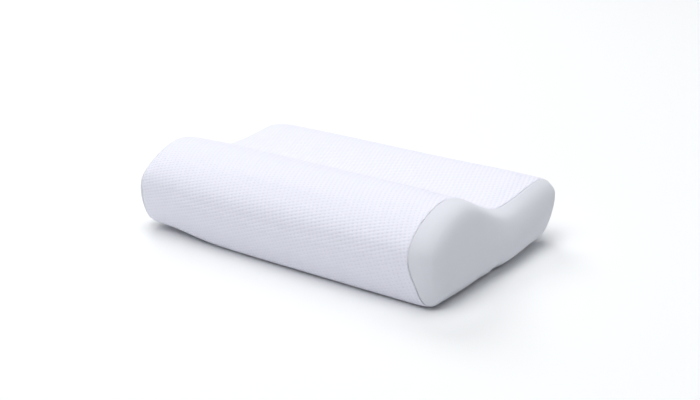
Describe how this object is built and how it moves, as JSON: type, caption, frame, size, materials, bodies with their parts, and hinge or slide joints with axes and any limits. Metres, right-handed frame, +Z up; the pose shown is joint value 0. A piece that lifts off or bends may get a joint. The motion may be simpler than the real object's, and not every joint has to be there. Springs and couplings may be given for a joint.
{
  "type": "contoured bed pillow",
  "caption": "Contoured memory-foam bed pillow: tall neck lobe, low rear lobe and a shallow dip between, in a white knit cover with rounded end panels and a zip underneath.",
  "frame": {"origin": "on the surface the pillow lies on, under the middle of its box", "axes": "+X along the pillow's length, -Y towards the tall neck lobe, +Y towards the low lobe, +Z up"},
  "size_m": [0.5, 0.335, 0.1209],
  "materials": {
    "memory_foam": "open-cell foam",
    "liner_tricot": "fine tricot",
    "cover_jacquard": "pinhole jacquard knit",
    "cover_plain_knit": "smooth plain knit",
    "thread": "spun polyester",
    "zip_tape": "woven",
    "zip_nylon": "drawn nylon",
    "zip_stop_metal": "crimped",
    "zip_slider_enamel": "enamelled zinc",
    "label_satin": "satin ribbon"
  },
  "bodies": {
    "pillow": {"foam_core": "memory_foam", "liner_sleeve": "liner_tricot", "liner_end_left": "liner_tricot", "liner_end_right": "liner_tricot", "liner_thread_left": "thread", "liner_thread_right": "thread", "cover_wrap": "cover_jacquard", "cover_end_left": "cover_plain_knit", "cover_end_right": "cover_plain_knit", "seam_thread_left": "thread", "seam_thread_right": "thread", "zip_tape_front": "zip_tape", "zip_tape_rear": "zip_tape", "zip_coil_front": "zip_nylon", "zip_coil_rear": "zip_nylon", "zip_top_stops": "zip_stop_metal", "zip_bottom_stop": "zip_stop_metal", "zip_stitch_front": "thread", "zip_stitch_rear": "thread", "zip_bar_tacks": "thread", "care_label": "label_satin"},
    "slider": {"zip_slider": "zip_slider_enamel"},
    "pull_tab": {"zip_pull_tab": "zip_slider_enamel"}
  },
  "joints": [
    {"name": "zip_slide", "type": "slide", "parent": "pillow", "child": "slider", "axis": [-1, 0, 0], "range_m": [0, 0.36]},
    {"name": "pull_tab_hinge", "type": "hinge", "parent": "slider", "child": "pull_tab", "pos_m": [0.18, 0, 0.00415], "axis": [0, -1, 0], "range_deg": [0, 175]}
  ]
}
